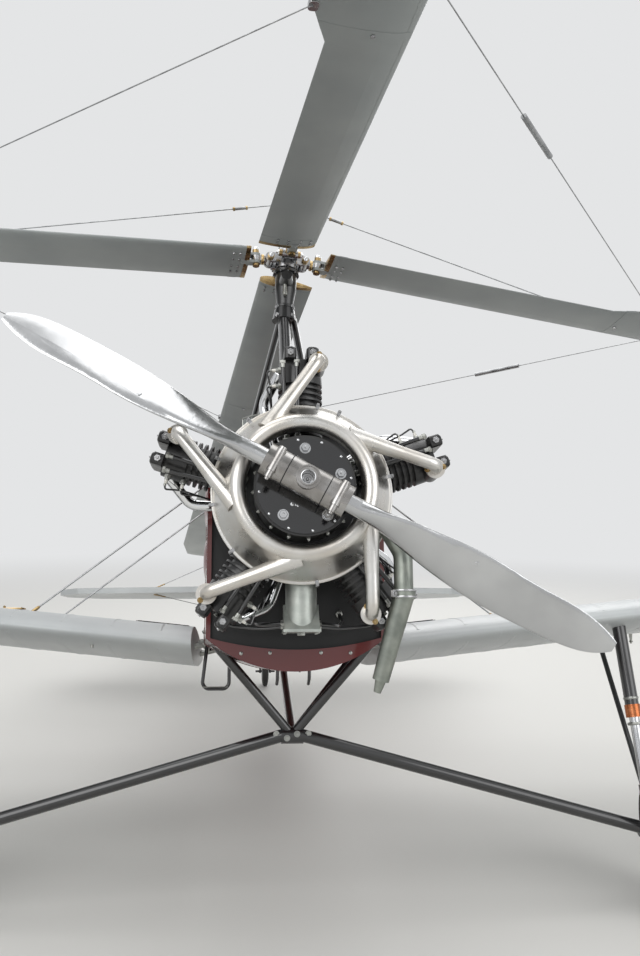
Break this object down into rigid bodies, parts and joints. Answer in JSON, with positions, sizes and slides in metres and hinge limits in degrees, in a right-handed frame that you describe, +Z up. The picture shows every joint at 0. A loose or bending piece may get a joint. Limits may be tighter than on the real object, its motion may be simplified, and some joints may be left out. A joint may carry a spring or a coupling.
{
  "type": "light two-seat gyrocopter",
  "caption": "Light two-seat gyrocopter on its wheels: open radial engine with exhaust ring, polished propeller, free rotor, low wings with turned-up tips and tail-wheel gear.",
  "frame": {"origin": "on the floor below the middle of the whole craft, rotor blades included", "axes": "+Z up, -Y towards the nose, +X to the port side"},
  "size_m": [11.189, 10.7249, 4.1317],
  "materials": {
    "maroon_panel": "gloss",
    "maroon_fabric": "gloss",
    "black_tube": "gloss",
    "black_casting": "satin",
    "hub_steel": "satin",
    "brass_fittings": "satin",
    "silver_blade": "satin",
    "stay_wire": "satin",
    "engine_alloy": "satin",
    "black_plate": "gloss",
    "cylinder_black": "satin",
    "chrome_tube": "polished",
    "satin_exhaust": "satin",
    "grey_exhaust": "satin",
    "sump_alloy": "satin",
    "polished_alloy": "polished",
    "silver_wing": "satin",
    "steel_fittings": "satin",
    "wheel_paint": "satin",
    "tyre_rubber": "matte",
    "seat_shell": "satin",
    "dash_board": "satin",
    "clear_shield": "gloss",
    "coaming_leather": "satin",
    "polished_steel": "polished",
    "copper_collar": "satin",
    "firewall_sheet": "satin"
  },
  "bodies": {
    "airframe": {"axle_legs": "black_tube", "boarding_step": "black_tube", "brace_wires": "stay_wire", "coaming_rolls": "coaming_leather", "control_sticks": "black_tube", "crankcase": "engine_alloy", "cylinders": "cylinder_black", "engine_mount": "black_tube", "exhaust_ring": "satin_exhaust", "exhaust_tail_pipe": "grey_exhaust", "fin": "maroon_fabric", "firewall": "firewall_sheet", "fuselage_tail": "maroon_fabric", "fuselage_tub": "maroon_fabric", "gear_pyramid": "black_tube", "instrument_panels": "dash_board", "intake_pipes": "chrome_tube", "nose_cowl": "maroon_panel", "nose_plate": "black_plate", "oil_sump": "sump_alloy", "pushrods": "chrome_tube", "rotor_head": "black_casting", "rotor_pylon": "black_tube", "seat_cushions": "coaming_leather", "seats": "seat_shell", "shock_struts": "black_tube", "strut_collars": "copper_collar", "strut_rods": "polished_steel", "tail_leg": "black_tube", "tailplane": "silver_wing", "windshields": "clear_shield", "wing_fittings": "steel_fittings", "wing_port": "silver_wing", "wing_starboard": "silver_wing"},
    "rotor": {"rotor_hub": "hub_steel", "blade_links": "hub_steel", "hinge_pins": "brass_fittings", "rotor_blade_front": "silver_blade", "rotor_blade_port": "silver_blade", "rotor_blade_rear": "silver_blade", "rotor_blade_starboard": "silver_blade", "droop_post": "black_tube", "droop_stays": "stay_wire", "blade_ties": "stay_wire"},
    "propeller": {"propeller_hub": "polished_alloy", "propeller_blades": "polished_alloy"},
    "main_wheel_port": {"wheel_port": "wheel_paint", "tyre_port": "tyre_rubber"},
    "main_wheel_starboard": {"wheel_starboard": "wheel_paint", "tyre_starboard": "tyre_rubber"},
    "tail_swivel": {"tail_fork": "black_tube"},
    "tail_roller": {"tail_wheel": "tyre_rubber"},
    "aileron_port": {"aileron_port": "silver_wing"},
    "aileron_starboard": {"aileron_starboard": "silver_wing"},
    "elevators": {"elevators": "silver_wing"},
    "rudder": {"rudder": "maroon_fabric"}
  },
  "joints": [
    {"name": "rotor_spin", "type": "hinge", "parent": "airframe", "child": "rotor", "pos_m": [0, 0.11, 2.89468], "axis": [0.0435, 0.2922, 0.9554], "continuous": true},
    {"name": "propeller_spin", "type": "hinge", "parent": "airframe", "child": "propeller", "pos_m": [0, -1.55194, 1.8095], "axis": [0, -0.9781, 0.2079], "continuous": true},
    {"name": "main_wheel_port_spin", "type": "hinge", "parent": "airframe", "child": "main_wheel_port", "pos_m": [1.66, -0.84408, 0.33], "axis": [1, 0, 0], "continuous": true},
    {"name": "main_wheel_starboard_spin", "type": "hinge", "parent": "airframe", "child": "main_wheel_starboard", "pos_m": [-1.66, -0.84408, 0.33], "axis": [1, 0, 0], "continuous": true},
    {"name": "tail_swivel_turn", "type": "hinge", "parent": "airframe", "child": "tail_swivel", "pos_m": [0, 3.22339, 0.125], "axis": [0, 0, 1], "continuous": true},
    {"name": "tail_wheel_spin", "type": "hinge", "parent": "tail_swivel", "child": "tail_roller", "pos_m": [0, 3.27839, 0.125], "axis": [1, 0, 0], "continuous": true},
    {"name": "rudder_turn", "type": "hinge", "parent": "airframe", "child": "rudder", "pos_m": [0, 3.39749, 0.75747], "axis": [0, 0.2079, 0.9781], "range_deg": [-25, 25]},
    {"name": "elevator_turn", "type": "hinge", "parent": "airframe", "child": "elevators", "pos_m": [0, 3.12831, 0.79935], "axis": [1, 0, 0], "range_deg": [-20, 25]},
    {"name": "aileron_port_turn", "type": "hinge", "parent": "airframe", "child": "aileron_port", "pos_m": [1.45, 0.33338, 0.96356], "axis": [0.9945, 0.0218, 0.1026], "range_deg": [-18, 18]},
    {"name": "aileron_starboard_turn", "type": "hinge", "parent": "airframe", "child": "aileron_starboard", "pos_m": [-1.45, 0.33338, 0.96356], "axis": [0.9945, -0.0218, -0.1026], "range_deg": [-18, 18]}
  ],
  "couplings": [
    {"joint": "aileron_starboard_turn", "follows": "aileron_port_turn", "ratio": -1}
  ]
}
